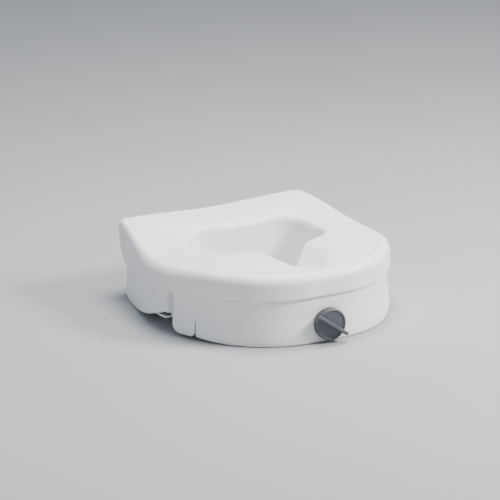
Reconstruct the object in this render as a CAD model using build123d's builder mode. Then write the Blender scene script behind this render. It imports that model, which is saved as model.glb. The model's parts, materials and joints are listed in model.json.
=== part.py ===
from build123d import *
import os
from math import cos, pi, radians, sin, sqrt, tan

os.makedirs("parts", exist_ok=True)

# Raised toilet seat that clamps to the bowl.  Millimetres, +Z up, front of the seat towards -Y,
# origin under the middle of the whole object, on the plane that its lowest edges stand on.

# ---- Driving dimensions ----
SEAT_WIDTH = 406.0  # across the hips, the widest place
SEAT_DEPTH = 394.0  # front of the seat to its rear edge
REAR_WIDTH = 343.0  # across the rear edge
KNOB_REACH = 22.0  # how far the knob stands out in front of the seat
WALL = 3.5  # both shells
GAP = 0.05  # radial clearance of shafts, screws and nuts

FRONT_Y = KNOB_REACH - (SEAT_DEPTH + KNOB_REACH) / 2
REAR_Y = FRONT_Y + SEAT_DEPTH
MID_Y = (FRONT_Y + REAR_Y) / 2
HIP_Y = MID_Y + 41.0  # where the seat is widest
SIDE_RADIUS = 230.0
FRONT_RADIUS = 150.0
TAPER = (SEAT_WIDTH - REAR_WIDTH) / 2 / (REAR_Y - HIP_Y)
REAR_CORNER = 20.0
FRONT_SLANT = 116.0  # what the outline's 45 degree front corners cut off along each axis
EDGE_ROLL = 16.0  # rolled edge round the seat's top

TOP_DIP = 111.0  # height of the top where it is lowest, beside the thighs
TOP_FRONT = 116.5
TOP_REAR = 131.0
DIP_Y = MID_Y + 25.0
JOINT_FRONT = 76.0  # height of the line where the two shells meet
JOINT_REAR = 50.0
JOINT_BEND_Y = MID_Y + 5.0
UNDERCUT = 13.0  # the rear face leans in below this height
UNDERCUT_TOP = 80.0
SPIGOT = 7.0  # how far the base shell reaches up inside the seat shell

THROAT_Z = 12.0  # lower edge of the splash funnel
MOUTH_RIM_Z = 96.0  # the funnel flares out above this height
MOUTH_TOP_Z = 134.0
DECK_Z = 20.0  # underside of the base shell's deck
DECK_TOP = 23.0
REST_Z = 18.0  # underside of the rest pads, the top of the bowl's rim
BASE_INSET = 4.5
BASE_REAR_INSET = 17.5
BASE_CORNER = 30.0  # the skirt's rear corners
LIP_Y = FRONT_Y + BASE_INSET  # outer face of the front lip

ROD_Z = 30.0
ROD_R = 6.0
JOURNAL_R = 4.0
KNOB_R = 26.0
KNOB_TILT = -35.0  # the grip bar, seen from the front, falls to the right
CLAMP_OPEN = 24.0  # travel of the clamp from gripping to fully open
CLAMP_TIGHTEN = 6.0

SCREW_R = 2.1  # long shell screws
SMALL_SCREW_R = 1.9  # rail, bearing and hook screws


# ---- Shapes that several pieces share ----
def ramp(t):
    """A smooth rise from 0 to 1."""
    return (1 - cos(pi * min(max(t, 0), 1))) / 2


def top_height(y):
    """Height of the seat's top along its length: high at the rear, dipped beside the thighs."""
    if y > DIP_Y:
        return TOP_DIP + (TOP_REAR - TOP_DIP) * ramp((y - DIP_Y) / (REAR_Y - DIP_Y))
    return TOP_DIP + (TOP_FRONT - TOP_DIP) * ramp((DIP_Y - y) / (DIP_Y - FRONT_Y))


def joint_height(y):
    """Height of the line between the shells: level in front, falling towards the rear."""
    return JOINT_FRONT - (JOINT_FRONT - JOINT_REAR) * ramp((y - JOINT_BEND_Y) / (REAR_Y - JOINT_BEND_Y))


def outline_at(z, inset, rear_inset=None, corner=REAR_CORNER):
    """Plan outline: straight rear edge, tapered sides, round front of tangent arcs."""
    half = SEAT_WIDTH / 2
    rear = REAR_Y if rear_inset is None else REAR_Y - rear_inset + inset
    rear_half = half - TAPER * (rear - HIP_Y)
    corners = [(rear_half, rear), (half, HIP_Y), (half, FRONT_Y + FRONT_SLANT), (half - FRONT_SLANT, FRONT_Y)]
    with BuildSketch(Plane.XY.offset(z)) as outline:
        with BuildLine():
            Polyline(*corners, *[(-x, y) for x, y in reversed(corners)], close=True)
        make_face()
        # the hip corner is blunt enough as it is
        rounded = ((rear, corner), (FRONT_Y + FRONT_SLANT, SIDE_RADIUS), (FRONT_Y, FRONT_RADIUS))
        for y, radius in rounded:
            fillet(vertices().filter_by_position(Axis.Y, y - 0.1, y + 0.1), radius=radius)
        if inset > 0:
            offset(amount=-inset)
    return outline.sketch


def side_x(y, inset):
    """Half width of the outline at y."""
    if y >= HIP_Y:
        return SEAT_WIDTH / 2 - inset - TAPER * (y - HIP_Y)
    side_start = FRONT_Y + FRONT_SLANT + SIDE_RADIUS * tan(radians(22.5))
    radius = SIDE_RADIUS - inset
    return SEAT_WIDTH / 2 - SIDE_RADIUS + sqrt(radius**2 - min(y - side_start, 0) ** 2)


# Corners of the opening's right half, from the rear to its point at the front: the place at the
# throat, the move up to the rim, the move per millimetre of flare, and both radii.
MOUTH_CORNERS = (
    ((84.0, 84.0), (30.0, 20.0), (1.0, 1.0), 44.0, 52.0),
    ((83.0, 0.0), (28.0, -6.0), (1.0, -0.57), 42.0, 52.0),
    ((32.0, -25.0), (11.0, -21.0), (0.66, -0.77), 24.0, 30.0),
    ((0.0, -52.0), (0.0, -45.0), (0.0, -1.57), 10.0, 10.0),
)


def mouth_at(z, grow=0.0):
    """Opening outline at height z: a rounded triangle that narrows to a notch at the front."""
    steep = min((z - THROAT_Z) / (MOUTH_RIM_Z - THROAT_Z), 1.0)
    flare = max(z - MOUTH_RIM_Z, 0.0) ** 1.5 / 7.5 + grow
    right = [
        (low[0] + rise[0] * steep + out[0] * flare, MID_Y + low[1] + rise[1] * steep + out[1] * flare)
        for low, rise, out, _, _ in MOUTH_CORNERS
    ]
    with BuildSketch(Plane.XY.offset(z)) as mouth:
        with BuildLine():
            Polyline(*right, *[(-x, y) for x, y in reversed(right[:-1])], close=True)
        make_face()
        for (_, y), (_, _, _, low_radius, rim_radius) in zip(right, MOUTH_CORNERS):
            radius = low_radius + (rim_radius - low_radius) * steep
            fillet(vertices().filter_by_position(Axis.Y, y - 0.1, y + 0.1), radius=radius)
    return mouth.sketch


def loft_mouth(grow=0.0, high=MOUTH_TOP_Z, mode=Mode.SUBTRACT):
    """The funnel's space: steep below, flaring out to the seat's top."""
    between = [z for z in (MOUTH_RIM_Z, 104.0, 112.0, 120.0) if z < high]
    loft([mouth_at(z, grow) for z in [THROAT_Z, *between, high]], ruled=True, mode=mode)


def profile_cut(points_low_to_far, close_z):
    """Cut away what lies between a curve in the YZ plane and the level close_z."""
    with BuildSketch(Plane.YZ) as region:
        with BuildLine():
            Spline(*points_low_to_far)
            first, last = points_low_to_far[0], points_low_to_far[-1]
            Polyline(first, (first[0], close_z), (last[0], close_z), last)
        make_face()
    extrude(region.sketch, amount=SEAT_WIDTH, both=True, mode=Mode.SUBTRACT)


def curve_points(height, drop=0.0, margin=12.0, count=11):
    span = REAR_Y - FRONT_Y + 2 * margin
    ys = [FRONT_Y - margin + span * i / (count - 1) for i in range(count)]
    return [(y, height(y) - drop) for y in ys]


def rear_undercut(inset):
    """Lean the lower rear face in."""
    rear = REAR_Y - inset
    with BuildSketch(Plane.YZ) as wedge:
        with BuildLine():
            Polyline(
                (rear, UNDERCUT_TOP),
                (rear - UNDERCUT * 1.6, UNDERCUT_TOP - (UNDERCUT_TOP - JOINT_REAR) * 1.6),
                (rear + 30, UNDERCUT_TOP - (UNDERCUT_TOP - JOINT_REAR) * 1.6),
                (rear + 30, UNDERCUT_TOP),
                close=True,
            )
        make_face()
    extrude(wedge.sketch, amount=SEAT_WIDTH, both=True, mode=Mode.SUBTRACT)


def seat_block(inset):
    """The seat's upper body as a solid, drawn in by inset on every side but the bottom."""
    extrude(outline_at(30.0, inset), amount=110.0)
    profile_cut(curve_points(top_height, drop=inset), 160.0)
    top_edges = faces().sort_by(Axis.Z)[-1].edges()
    fillet(top_edges, radius=EDGE_ROLL - inset)
    rear_undercut(inset)


VALLEY_R = 60.0
VALLEY_LOW_Y = MID_Y - 100.0
VALLEY_LOW_Z = 96.0
VALLEY_SLOPE = 17.0


def cut_valley(grow):
    """The scooped valley that leads down to the point of the opening."""
    centre = (0, VALLEY_LOW_Y, VALLEY_LOW_Z + VALLEY_R)
    along = (0, -cos(radians(VALLEY_SLOPE)), sin(radians(VALLEY_SLOPE)))
    with BuildSketch(Plane(origin=centre, x_dir=(1, 0, 0), z_dir=along)) as scoop:
        Circle(VALLEY_R + grow)
    extrude(scoop.sketch, amount=120.0, both=True, mode=Mode.SUBTRACT)


SHELL_SCREWS = [
    (side * x, MID_Y + y) for x, y in ((148.0, 132.0), (164.0, 6.0), (96.0, -130.0)) for side in (-1, 1)
]
SCREW_SEAT_Z = 52.0  # the heads sit at the top of deep wells
SCREW_WELL_R = 5.2
BOSS_MEET_Z = 60.0
TOP_BOSS_R = 7.0
LOW_BOSS_R = 8.0

# ---- Seat shell ----
with BuildPart() as shell_cavity:
    seat_block(WALL)
    cut_valley(WALL)
    loft_mouth(grow=WALL)

with BuildPart() as seat_shell:
    seat_block(0.0)
    profile_cut(curve_points(joint_height), -10.0)
    add(shell_cavity.part, mode=Mode.SUBTRACT)
    loft_mouth(grow=WALL, high=MOUTH_RIM_Z, mode=Mode.ADD)
    for x, y in SHELL_SCREWS:
        with BuildSketch(Plane.XY.offset(BOSS_MEET_Z)):
            with Locations((x, y)):
                Circle(TOP_BOSS_R)
        extrude(amount=top_height(y) - 2.0 - BOSS_MEET_Z)
    cut_valley(0.0)
    loft_mouth()
    for x, y in SHELL_SCREWS:
        with BuildSketch(Plane.XY.offset(BOSS_MEET_Z)):
            with Locations((x, y)):
                Circle(SCREW_R + GAP)
        extrude(amount=16.0, mode=Mode.SUBTRACT)

# ---- Base shell: lip, skirt, deck, ribs and bosses ----
RECESS_REAR_Y = MID_Y - 23.0  # upright recess between the rear skirt and the front lip's ear
RECESS_FRONT_Y = MID_Y - 37.0
NOTCH_Y = MID_Y - 83.0  # narrow slot between the ear and the front lip
RECESS_MID_Y = (RECESS_REAR_Y + RECESS_FRONT_Y) / 2
RECESS_X = 181.0
RECESS_WALL_X = 189.0  # where the recess's cheeks end, inside the skirt's wall
INNER_INSET = BASE_INSET + WALL


with BuildPart() as skirt:
    extrude(outline_at(0.0, BASE_INSET, BASE_REAR_INSET, BASE_CORNER), amount=100.0)
    inside = outline_at(-5.0, INNER_INSET, BASE_REAR_INSET + WALL, BASE_CORNER)
    extrude(inside, amount=110.0, mode=Mode.SUBTRACT)
    profile_cut(curve_points(joint_height, drop=-SPIGOT), 130.0)
    with BuildSketch(Plane.YZ) as edge_line:
        with BuildLine():
            Polyline((REAR_Y + 10, -9), (REAR_Y + 10, DECK_Z), (MID_Y + 168, DECK_Z))
            RadiusArc((MID_Y + 168, DECK_Z), (MID_Y + 148, 0), 20)
            Polyline((MID_Y + 148, 0), (MID_Y + 120, 0))
            Spline((MID_Y + 120, 0), (MID_Y + 50, 15.5), (MID_Y - 16, 31), tangents=[(-1, 0), (-1, 0.2)])
            Polyline((MID_Y - 16, 31), (RECESS_FRONT_Y, 31), (RECESS_FRONT_Y, 18))
            RadiusArc((RECESS_FRONT_Y, 18), (RECESS_FRONT_Y - 14, 4), 14)
            Polyline((RECESS_FRONT_Y - 14, 4), (NOTCH_Y + 11, 4))
            RadiusArc((NOTCH_Y + 11, 4), (NOTCH_Y + 1, 14), 10)
            Polyline((NOTCH_Y + 1, 14), (NOTCH_Y + 1, 29), (NOTCH_Y - 1, 29), (NOTCH_Y - 2, 5))
            Spline((NOTCH_Y - 2, 5), (NOTCH_Y - 34, 1.8), (MID_Y - 150, 0), tangents=[(-1, -0.2), (-1, 0)])
            Polyline((MID_Y - 150, 0), (MID_Y - 150, -9), (REAR_Y + 10, -9))
        make_face()
    extrude(edge_line.sketch, amount=SEAT_WIDTH, both=True, mode=Mode.SUBTRACT)

RIB_T = 3.0
RIB_HEIGHT = 26.0
SIDE_RIBS = ((90.0, 100.0), (45.0, 112.0), (-48.0, 96.0))  # place along the seat, and where each starts
REAR_RIB_FRONT_Y = MID_Y + 112.0
REAR_RIB_REAR_Y = REAR_Y - BASE_REAR_INSET - 2.0
FRONT_BOSS_R = 13.0
BUSH_R = 9.0
SLOT_HALF = 24.0
SLOT_FRONT_Y = MID_Y - 144.0
SLOT_REAR_Y = MID_Y - 89.0
RAIL_SCREWS = [(side * 42.0, MID_Y + y) for side in (-1, 1) for y in (-138.0, -96.0)]
BEARING_SCREWS = [(side * 18.0, MID_Y - 80.5) for side in (-1, 1)]
HOOK_SCREWS = [(side * x, MID_Y + 106.0) for side in (-1, 1) for x in (60.0, 80.0)]

with BuildPart() as base_shell:
    add(skirt.part)
    deck = outline_at(DECK_Z, BASE_INSET + 1.0, BASE_REAR_INSET + 1.0, BASE_CORNER)
    extrude(deck, amount=DECK_TOP - DECK_Z)
    # upright recesses
    for side in (-1, 1):
        with BuildSketch(Plane.XY.offset(DECK_Z)):
            with Locations((side * (RECESS_X - WALL + RECESS_WALL_X) / 2, RECESS_MID_Y)):
                Rectangle(RECESS_WALL_X - RECESS_X + WALL, RECESS_REAR_Y - RECESS_FRONT_Y + 2 * WALL)
        extrude(amount=JOINT_FRONT - DECK_Z - 1.0)
        with BuildSketch(Plane.XY.offset(0)):
            with Locations((side * (RECESS_X + 20.0), RECESS_MID_Y)):
                Rectangle(40.0, RECESS_REAR_Y - RECESS_FRONT_Y)
        extrude(amount=JOINT_FRONT - WALL, mode=Mode.SUBTRACT)
    # ribs across the deck
    for y, inner in SIDE_RIBS:
        outer = side_x(MID_Y + y, INNER_INSET) + 1.5
        for side in (-1, 1):
            with BuildSketch(Plane.XY.offset(DECK_TOP)):
                with Locations((side * (inner + outer) / 2, MID_Y + y)):
                    Rectangle(outer - inner, RIB_T)
            extrude(amount=RIB_HEIGHT)
    for x in (-40.0, 40.0):
        with BuildSketch(Plane.XY.offset(DECK_TOP)):
            with Locations((x, (REAR_RIB_FRONT_Y + REAR_RIB_REAR_Y) / 2)):
                Rectangle(RIB_T, REAR_RIB_REAR_Y - REAR_RIB_FRONT_Y)
        extrude(amount=RIB_HEIGHT)
    # screw bosses
    for x, y in SHELL_SCREWS:
        with BuildSketch(Plane.XY.offset(DECK_Z)):
            with Locations((x, y)):
                Circle(LOW_BOSS_R)
        extrude(amount=BOSS_MEET_Z - DECK_Z)
    # thickened round boss for the rod's bush
    with BuildSketch(Plane.XZ.offset(-(LIP_Y + 8.0))):
        with Locations((0, ROD_Z)):
            Circle(FRONT_BOSS_R)
    extrude(amount=8.6)
    # openings in the deck
    extrude(mouth_at(DECK_Z, WALL + 1.5), amount=10.0, both=True, mode=Mode.SUBTRACT)
    with BuildSketch(Plane.XY.offset(DECK_Z - 1)):
        with Locations((0, (SLOT_FRONT_Y + SLOT_REAR_Y) / 2)):
            Rectangle(2 * SLOT_HALF, SLOT_REAR_Y - SLOT_FRONT_Y)
    extrude(amount=DECK_TOP - DECK_Z + 2, mode=Mode.SUBTRACT)
    with BuildSketch(Plane.XY.offset(DECK_Z - 1)):
        with Locations((0, LIP_Y + 11.1)):
            Rectangle(27.0, 6.0)
    extrude(amount=DECK_TOP - DECK_Z + 2, mode=Mode.SUBTRACT)
    with BuildSketch(Plane.XZ.offset(-(LIP_Y + 20.0))):
        with Locations((0, ROD_Z)):
            Circle(BUSH_R + GAP)
    extrude(amount=40.0, mode=Mode.SUBTRACT)
    for x, y in SHELL_SCREWS:
        with Locations((x, y, BOSS_MEET_Z)):
            Hole(SCREW_R + GAP, depth=BOSS_MEET_Z - DECK_Z)
        with Locations((x, y, SCREW_SEAT_Z)):
            Hole(SCREW_WELL_R, depth=SCREW_SEAT_Z - DECK_Z)
    for x, y in RAIL_SCREWS + BEARING_SCREWS + HOOK_SCREWS:
        with Locations((x, y, DECK_TOP)):
            Hole(SMALL_SCREW_R + GAP, depth=DECK_TOP - DECK_Z)


# ---- Fasteners ----
def pan_screws(places, head_z, length, radius, up=1):
    """Screws at places; the head's seat is at head_z and the shank goes down, or up with up=-1."""
    for x, y in places:
        with BuildSketch(Plane.XY.offset(head_z)) as head:
            with Locations((x, y)):
                Circle(2 * radius)
        extrude(head.sketch, amount=up * 1.1 * radius)
        with BuildSketch(Plane.XY.offset(head_z)) as shank:
            with Locations((x, y)):
                Circle(radius)
        extrude(shank.sketch, amount=-up * length)


with BuildPart() as shell_screws:
    pan_screws(SHELL_SCREWS, SCREW_SEAT_Z, 20.0, SCREW_R, up=-1)

RAIL_FOOT = 3.0
with BuildPart() as rail_screws:
    pan_screws(RAIL_SCREWS, DECK_TOP + RAIL_FOOT, 5.7, SMALL_SCREW_R)

with BuildPart() as bearing_screws:
    pan_screws(BEARING_SCREWS, DECK_TOP + RAIL_FOOT, 5.7, SMALL_SCREW_R)

with BuildPart() as hook_screws:
    pan_screws(HOOK_SCREWS, DECK_TOP, 5.7, SMALL_SCREW_R)

# ---- Guide rails of the clamp ----
RAIL_X = 34.3
RAIL_WEB = 3.0
RAIL_TOP_Z = 31.0
RAIL_LIP_Z = 27.7
RAIL_LIP_X = 29.0
RAIL_FRONT_Y = MID_Y - 145.0
RAIL_REAR_Y = MID_Y - 88.5


def guide_rail(side):
    """A channel with a foot outwards and a lip inwards over the slider's flange."""
    web_out = RAIL_X + RAIL_WEB
    profile = [
        (RAIL_X, DECK_TOP), (RAIL_X, RAIL_LIP_Z), (RAIL_LIP_X, RAIL_LIP_Z), (RAIL_LIP_X, RAIL_TOP_Z),
        (web_out, RAIL_TOP_Z), (web_out, DECK_TOP + RAIL_FOOT), (web_out + 10, DECK_TOP + RAIL_FOOT),
        (web_out + 10, DECK_TOP),
    ]
    with BuildSketch(Plane.XZ.offset(-RAIL_FRONT_Y)) as section:
        with BuildLine():
            Polyline(*[(side * x, z) for x, z in profile], close=True)
        make_face()
    extrude(section.sketch, amount=-(RAIL_REAR_Y - RAIL_FRONT_Y))
    for x, y in RAIL_SCREWS:
        if x * side > 0:
            with Locations((x, y, DECK_TOP + RAIL_FOOT)):
                Hole(SMALL_SCREW_R + GAP, depth=RAIL_FOOT)


with BuildPart() as guide_rail_left:
    guide_rail(-1)
with BuildPart() as guide_rail_right:
    guide_rail(1)

# ---- Rod, its bush and its end bearing ----
BUSH_FLANGE = 1.5
BUSH_FRONT_Y = LIP_Y - 0.6
BUSH_LENGTH = 10.5


def round_bar(y, radius, length, z=ROD_Z, mode=Mode.ADD):
    """A round bar along Y from y towards the rear."""
    with BuildSketch(Plane.XZ.offset(-y)) as disc:
        with Locations((0, z)):
            Circle(radius)
    extrude(disc.sketch, amount=-length, mode=mode)


with BuildPart() as front_bush:
    round_bar(BUSH_FRONT_Y - BUSH_FLANGE, 12.0, BUSH_FLANGE)
    round_bar(BUSH_FRONT_Y, BUSH_R, BUSH_LENGTH)
    round_bar(BUSH_FRONT_Y - 5, ROD_R + GAP, 30.0, mode=Mode.SUBTRACT)

WASHER_Y = BUSH_FRONT_Y + BUSH_LENGTH + 0.3
WASHER_T = 1.5
CLIP_Y = WASHER_Y + WASHER_T + 0.05
CLIP_T = 1.2
GROOVE_R = 4.6
JOURNAL_Y = MID_Y - 88.0
ROD_END_Y = MID_Y - 73.0
DRIVE_HALF = 4.0
KNOB_BACK_Y = BUSH_FRONT_Y - BUSH_FLANGE - 0.3
SOCKET_DEPTH = 9.0
PIN_R = 1.5
PIN_Y = KNOB_BACK_Y - 4.5


def tilted_box(y, size_along, size_across, length, mode=Mode.ADD):
    """A bar of the grip's tilt, from y towards the front."""
    with BuildSketch(Plane.XZ.offset(-y)) as block:
        with Locations(Location((0, ROD_Z), KNOB_TILT)):
            Rectangle(size_along, size_across)
    extrude(block.sketch, amount=length, mode=mode)


def cross_pin(radius, length, mode=Mode.ADD):
    """A round pin through the knob's hub, square to the rod and to the grip bar."""
    across = (cos(radians(KNOB_TILT + 90)), 0, sin(radians(KNOB_TILT + 90)))
    with BuildSketch(Plane(origin=(0, PIN_Y, ROD_Z), z_dir=across)) as disc:
        Circle(radius)
    extrude(disc.sketch, amount=length / 2, both=True, mode=mode)


with BuildPart() as threaded_rod:
    round_bar(KNOB_BACK_Y, ROD_R, JOURNAL_Y - KNOB_BACK_Y)
    round_bar(JOURNAL_Y, JOURNAL_R, ROD_END_Y - JOURNAL_Y)
    tilted_box(KNOB_BACK_Y, 2 * DRIVE_HALF, 2 * DRIVE_HALF, SOCKET_DEPTH - 0.5)
    with BuildSketch(Plane.XZ.offset(-CLIP_Y)):
        with Locations((0, ROD_Z)):
            Circle(ROD_R + 1)
            Circle(GROOVE_R, mode=Mode.SUBTRACT)
    extrude(amount=-CLIP_T, mode=Mode.SUBTRACT)
    cross_pin(PIN_R + GAP, 40.0, mode=Mode.SUBTRACT)

with BuildPart() as thrust_washer:
    round_bar(WASHER_Y, 11.0, WASHER_T)
    round_bar(WASHER_Y - 1, ROD_R + GAP, WASHER_T + 2, mode=Mode.SUBTRACT)

with BuildPart() as retaining_clip:
    round_bar(CLIP_Y + 0.05, 9.0, CLIP_T - 0.1)
    round_bar(CLIP_Y - 1, GROOVE_R + GAP, CLIP_T + 2, mode=Mode.SUBTRACT)
    with BuildSketch(Plane.XZ.offset(-CLIP_Y + 1)):
        with Locations((0, ROD_Z - 6)):
            Rectangle(5.6, 12.0)
    extrude(amount=-CLIP_T - 2, mode=Mode.SUBTRACT)

BEARING_Y = MID_Y - 86.0
BEARING_T = 11.0
with BuildPart() as rod_end_bearing:
    with BuildSketch(Plane.XZ.offset(-BEARING_Y)):
        with BuildLine():
            Polyline(
                (-12, 34), (-12, 26), (-24, 26), (-24, DECK_TOP), (24, DECK_TOP), (24, 26), (12, 26), (12, 34)
            )
            ThreePointArc((12, 34), (0, 42), (-12, 34))
        make_face()
    extrude(amount=-BEARING_T)
    round_bar(BEARING_Y - 1, JOURNAL_R + GAP, BEARING_T + 2, mode=Mode.SUBTRACT)
    for x, y in BEARING_SCREWS:
        with Locations((x, y, DECK_TOP + RAIL_FOOT)):
            Hole(SMALL_SCREW_R + GAP, depth=RAIL_FOOT)

# ---- Knob ----
KNOB_FACE_Y = FRONT_Y - 11.0
KNOB_WALL = 2.6
HUB_R = 10.0
GRIP_LENGTH = 60.0
GRIP_T = 7.0

with BuildPart() as locking_knob:
    round_bar(KNOB_FACE_Y, KNOB_R, KNOB_BACK_Y - KNOB_FACE_Y)
    rim = edges().filter_by(GeomType.CIRCLE).sort_by(Axis.Y)[0]
    fillet(rim, radius=2.0)
    round_bar(KNOB_FACE_Y + 3.0, KNOB_R - KNOB_WALL, 30.0, mode=Mode.SUBTRACT)
    round_bar(KNOB_FACE_Y + 2.0, HUB_R, KNOB_BACK_Y - KNOB_FACE_Y - 2.0)
    tilted_box(KNOB_FACE_Y + 2.0, GRIP_LENGTH, GRIP_T, KNOB_REACH - 11.0 + 2.0)
    grip_edges = faces().sort_by(Axis.Y)[0].edges()
    fillet(grip_edges, radius=1.6)
    tilted_box(KNOB_BACK_Y, 2 * DRIVE_HALF + 0.1, 2 * DRIVE_HALF + 0.1, SOCKET_DEPTH, mode=Mode.SUBTRACT)
    cross_pin(PIN_R + GAP, 2 * KNOB_R + 10, mode=Mode.SUBTRACT)

with BuildPart() as knob_pin:
    cross_pin(PIN_R, 2 * HUB_R - 1.0)

# ---- Clamp ----
PAD_FACE_Y = MID_Y - 135.0
PAD_T = 4.0
JAW_FRONT_Y = PAD_FACE_Y + PAD_T
JAW_REAR_Y = MID_Y - 116.0
JAW_HALF = 22.0
FLANGE_HALF = 33.9
SLIDER_TOP_Z = 44.0
NUT_FRONT_Y = MID_Y - 129.0
NUT_LENGTH = 12.9
NUT_R = 11.0  # corner radius of the hexagon
COVER_T = 2.0
COVER_SCREWS = [(-16.0, ROD_Z + 5), (16.0, ROD_Z + 5)]
PAD_RIVETS = [(-13.0, 10.0), (13.0, 10.0)]


def bars_along_y(places, y, radius, length, mode=Mode.ADD):
    """Round bars along Y at places in XZ, from y towards the rear."""
    with BuildSketch(Plane.XZ.offset(-y)) as discs:
        with Locations(*places):
            Circle(radius)
    extrude(discs.sketch, amount=-length, mode=mode)


def hexagon_bar(y, radius, length, mode=Mode.ADD):
    with BuildSketch(Plane.XZ.offset(-y)) as hexagon:
        with Locations((0, ROD_Z)):
            RegularPolygon(radius, 6)
    extrude(hexagon.sketch, amount=-length, mode=mode)


with BuildPart() as clamp_slider:
    with BuildSketch(Plane.YZ):
        with BuildLine():
            Polyline(
                (JAW_FRONT_Y, 1), (JAW_FRONT_Y, SLIDER_TOP_Z - 6), (JAW_FRONT_Y + 5, SLIDER_TOP_Z),
                (JAW_REAR_Y, SLIDER_TOP_Z), (JAW_REAR_Y, 16), (JAW_FRONT_Y + 8, 1), close=True,
            )
        make_face()
    extrude(amount=JAW_HALF, both=True)
    with BuildSketch(Plane.XY.offset(DECK_TOP + 0.3)):
        with Locations((0, (JAW_FRONT_Y - 3 + JAW_REAR_Y) / 2)):
            Rectangle(2 * FLANGE_HALF, JAW_REAR_Y - JAW_FRONT_Y + 3)
    extrude(amount=4.0)
    round_bar(JAW_FRONT_Y - 10, ROD_R + 0.6, 40.0, mode=Mode.SUBTRACT)
    hexagon_bar(NUT_FRONT_Y - 0.1, NUT_R + 0.1, NUT_LENGTH + 5, mode=Mode.SUBTRACT)
    bars_along_y(COVER_SCREWS, JAW_REAR_Y - 8, 1.5 + GAP, 20.0, mode=Mode.SUBTRACT)
    bars_along_y(PAD_RIVETS, JAW_FRONT_Y - 5, 1.5 + GAP, 12.0, mode=Mode.SUBTRACT)

with BuildPart() as clamp_nut:
    hexagon_bar(NUT_FRONT_Y, NUT_R, NUT_LENGTH)
    round_bar(NUT_FRONT_Y - 1, ROD_R + GAP, NUT_LENGTH + 2, mode=Mode.SUBTRACT)

with BuildPart() as nut_cover:
    with BuildSketch(Plane.XZ.offset(-JAW_REAR_Y)):
        with Locations((0, ROD_Z + 2)):
            RectangleRounded(40.0, 22.0, 3.0)
    extrude(amount=-COVER_T)
    round_bar(JAW_REAR_Y - 1, ROD_R + 0.6, 10.0, mode=Mode.SUBTRACT)
    bars_along_y(COVER_SCREWS, JAW_REAR_Y - 1, 1.5 + GAP, 10.0, mode=Mode.SUBTRACT)

with BuildPart() as cover_screws:
    bars_along_y(COVER_SCREWS, JAW_REAR_Y - 7.5, 1.5, 7.5 + COVER_T)
    bars_along_y(COVER_SCREWS, JAW_REAR_Y + COVER_T, 2.8, 1.2)

with BuildPart() as clamp_pad:
    with BuildSketch(Plane.XZ.offset(-PAD_FACE_Y)):
        with Locations((0, 10)):
            RectangleRounded(42.0, 15.0, 2.0)
    extrude(amount=-PAD_T)
    bars_along_y(PAD_RIVETS, PAD_FACE_Y - 1, 1.5 + GAP, 10.0, mode=Mode.SUBTRACT)
    bars_along_y(PAD_RIVETS, PAD_FACE_Y - 1, 3.0 + GAP, 2.5, mode=Mode.SUBTRACT)

with BuildPart() as pad_rivets:
    bars_along_y(PAD_RIVETS, PAD_FACE_Y + 0.5, 3.0, 1.0)
    bars_along_y(PAD_RIVETS, PAD_FACE_Y + 1.5, 1.5, 8.0)

# ---- Rear hooks, pads ----
HOOK_X = 70.0
HOOK_LEG_Y = MID_Y + 116.0
HOOK_T = 3.0
HOOK_FRONT_Y = MID_Y + 97.0
HOOK_PAD_T = 3.0


def rear_hook(side):
    """An angle bracket under the deck with a leg down, a toe and a gusset."""
    with BuildSketch(Plane.YZ.offset(side * HOOK_X)) as angle:
        with BuildLine():
            Polyline(
                (HOOK_FRONT_Y, DECK_Z), (HOOK_FRONT_Y, DECK_Z - HOOK_T), (HOOK_LEG_Y, DECK_Z - HOOK_T),
                (HOOK_LEG_Y, 0.5), (HOOK_LEG_Y + HOOK_T + 4, 0.5), (HOOK_LEG_Y + HOOK_T + 4, 3.0),
                (HOOK_LEG_Y + HOOK_T, 4.0), (HOOK_LEG_Y + HOOK_T, DECK_Z), close=True,
            )
        make_face()
    extrude(angle.sketch, amount=15.0, both=True)
    with BuildSketch(Plane.YZ.offset(side * HOOK_X)) as gusset:
        with BuildLine():
            Polyline(
                (HOOK_FRONT_Y + 2, DECK_Z - HOOK_T), (HOOK_LEG_Y, 3.0), (HOOK_LEG_Y, DECK_Z - HOOK_T),
                close=True,
            )
        make_face()
    extrude(gusset.sketch, amount=1.5, both=True)
    for x, y in HOOK_SCREWS:
        if x * side > 0:
            with Locations((x, y, DECK_Z)):
                Hole(SMALL_SCREW_R + GAP, depth=HOOK_T)


def hook_pad(side):
    with BuildSketch(Plane.XZ.offset(-(HOOK_LEG_Y + HOOK_T))) as pad:
        with Locations((side * HOOK_X, 10.5)):
            RectangleRounded(28.0, 11.0, 2.0)
    extrude(pad.sketch, amount=-HOOK_PAD_T)


with BuildPart() as rear_hook_left:
    rear_hook(-1)
with BuildPart() as rear_hook_right:
    rear_hook(1)
with BuildPart() as hook_pad_left:
    hook_pad(-1)
with BuildPart() as hook_pad_right:
    hook_pad(1)

REST_PADS = [
    (side * x, MID_Y + y, side * turn) for side in (-1, 1) for x, y, turn in ((150, 60, 5), (128, -92, -40))
]
with BuildPart() as rest_pads:
    for x, y, turn in REST_PADS:
        with BuildSketch(Plane.XY.offset(REST_Z)):
            with Locations(Location((x, y), turn)):
                RectangleRounded(15.0, 52.0, 5.0)
        extrude(amount=DECK_Z - REST_Z)

with BuildPart() as lip_pad:
    extrude(outline_at(2.0, INNER_INSET), amount=14.0)
    extrude(outline_at(0.0, INNER_INSET + 2.5), amount=20.0, mode=Mode.SUBTRACT)
    with BuildSketch(Plane.XY.offset(0)):
        with Locations((0, FRONT_Y + 30)):
            Rectangle(130.0, 70.0)
    extrude(amount=30.0, mode=Mode.INTERSECT)

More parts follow.
